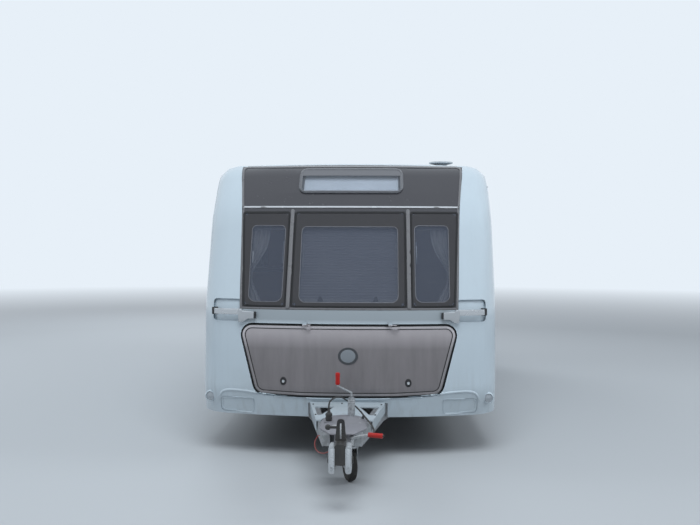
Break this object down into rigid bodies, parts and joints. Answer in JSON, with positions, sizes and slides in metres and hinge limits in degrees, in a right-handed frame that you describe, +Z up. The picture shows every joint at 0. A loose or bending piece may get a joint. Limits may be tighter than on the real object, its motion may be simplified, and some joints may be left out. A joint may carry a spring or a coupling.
{
  "type": "travel caravan",
  "caption": "Single-axle touring caravan with a bowed windowed front, side entrance door, gas locker lid, overrun hitch, jockey wheel and corner steadies.",
  "frame": {"origin": "on the ground, below the middle of the overall length and width", "axes": "+Y to the rear, -Y to the hitch, +X to the side with the entrance door, +Z up"},
  "size_m": [2.3346, 7.28, 2.5208],
  "materials": {
    "body_white": "smooth gloss gel-coat and painted sheet",
    "dark_panel": "gloss dark moulding",
    "lid_grey": "metallic taupe-grey paint",
    "glazing": "smoked double acrylic",
    "chrome": "polished",
    "galvanised": "hot-dip galvanised",
    "cast": "painted casting",
    "black_plastic": "matt",
    "cable_rubber": "flexible sheath",
    "tyre": "rolled rubber",
    "alloy": "silver lacquer",
    "red_plastic": "semi-gloss",
    "red_lens": "clear lens",
    "floor_board": "sealed board",
    "liner": "textured",
    "furniture": "laminate",
    "upholstery": "woven"
  },
  "bodies": {
    "caravan": {"front_panel": "body_white", "front_surround": "dark_panel", "front_upper_panel": "dark_panel", "front_window_left": "glazing", "front_window_centre": "glazing", "front_window_right": "glazing", "front_skylight": "glazing", "gas_locker_box": "liner", "grab_handle_left": "chrome", "grab_handle_right": "chrome", "side_wall_left": "body_white", "side_wall_right": "body_white", "side_window_left_front": "glazing", "side_window_left_kitchen": "glazing", "side_window_left_rear": "glazing", "side_window_right_front": "glazing", "side_window_right_rear": "glazing", "roof": "body_white", "roof_light_large": "glazing", "roof_light_small": "glazing", "roof_aerial": "body_white", "rear_panel": "body_white", "rear_window": "glazing", "rear_bumper": "body_white", "rear_lamp_left": "red_lens", "rear_lamp_right": "red_lens", "floor": "floor_board", "wheel_arch_left": "body_white", "wheel_arch_right": "body_white", "chassis": "galvanised", "axle": "cast", "a_frame_cover": "body_white", "overrun_housing": "galvanised", "coupling_head": "cast", "stabiliser_handle": "black_plastic", "handbrake_lever": "red_plastic", "jockey_tube": "galvanised", "towing_cable": "cable_rubber", "towing_plug": "black_plastic", "breakaway_cable": "red_plastic", "sofa_left": "upholstery", "sofa_right": "upholstery", "front_chest": "furniture", "kitchen_unit": "furniture", "partition": "furniture"},
    "wheel_left": {"tyre_left": "tyre", "rim_left": "alloy"},
    "wheel_right": {"tyre_right": "tyre", "rim_right": "alloy"},
    "jockey_leg": {"jockey_leg": "galvanised"},
    "jockey_fork": {"jockey_fork": "galvanised"},
    "jockey_wheel": {"jockey_wheel": "tyre"},
    "steady_front_left": {"steady_front_left": "galvanised"},
    "steady_front_right": {"steady_front_right": "galvanised"},
    "steady_rear_left": {"steady_rear_left": "galvanised"},
    "steady_rear_right": {"steady_rear_right": "galvanised"},
    "locker_lid": {"gas_locker_lid": "lid_grey"},
    "door": {"entrance_door": "body_white", "door_window": "glazing"},
    "hatch": {"service_hatch": "body_white"}
  },
  "joints": [
    {"name": "wheel_left_spin", "type": "hinge", "parent": "caravan", "child": "wheel_left", "pos_m": [-0.97, 1.24, 0.315], "axis": [1, 0, 0], "continuous": true},
    {"name": "wheel_right_spin", "type": "hinge", "parent": "caravan", "child": "wheel_right", "pos_m": [0.97, 1.24, 0.315], "axis": [1, 0, 0], "continuous": true},
    {"name": "jockey_slide", "type": "slide", "parent": "caravan", "child": "jockey_leg", "axis": [0, 0, 1], "range_m": [0, 0.1]},
    {"name": "jockey_swivel", "type": "hinge", "parent": "jockey_leg", "child": "jockey_fork", "pos_m": [0.045, -2.9, 0.245], "axis": [0, 0, 1], "continuous": true},
    {"name": "jockey_wheel_spin", "type": "hinge", "parent": "jockey_fork", "child": "jockey_wheel", "pos_m": [0.03418, -2.86671, 0.11], "axis": [0.9511, 0.309, 0], "continuous": true},
    {"name": "steady_front_left_swing", "type": "hinge", "parent": "caravan", "child": "steady_front_left", "pos_m": [-0.83, -1.13, 0.38], "axis": [1, 0, 0], "range_deg": [0, 47]},
    {"name": "steady_front_right_swing", "type": "hinge", "parent": "caravan", "child": "steady_front_right", "pos_m": [0.83, -1.13, 0.38], "axis": [1, 0, 0], "range_deg": [0, 47]},
    {"name": "steady_rear_left_swing", "type": "hinge", "parent": "caravan", "child": "steady_rear_left", "pos_m": [-0.83, 2.55, 0.38], "axis": [-1, 0, 0], "range_deg": [0, 47]},
    {"name": "steady_rear_right_swing", "type": "hinge", "parent": "caravan", "child": "steady_rear_right", "pos_m": [0.83, 2.55, 0.38], "axis": [-1, 0, 0], "range_deg": [0, 47]},
    {"name": "locker_lid_lift", "type": "hinge", "parent": "caravan", "child": "locker_lid", "pos_m": [0, -2.2963, 1], "axis": [-1, 0, 0], "range_deg": [0, 80]},
    {"name": "door_swing", "type": "hinge", "parent": "caravan", "child": "door", "pos_m": [1.159, 0.047, 0.425], "axis": [0, 0, -1], "range_deg": [0, 165]},
    {"name": "hatch_swing", "type": "hinge", "parent": "caravan", "child": "hatch", "pos_m": [-1.159, 1.907, 0.5], "axis": [0, 0, 1], "range_deg": [0, 150]}
  ]
}
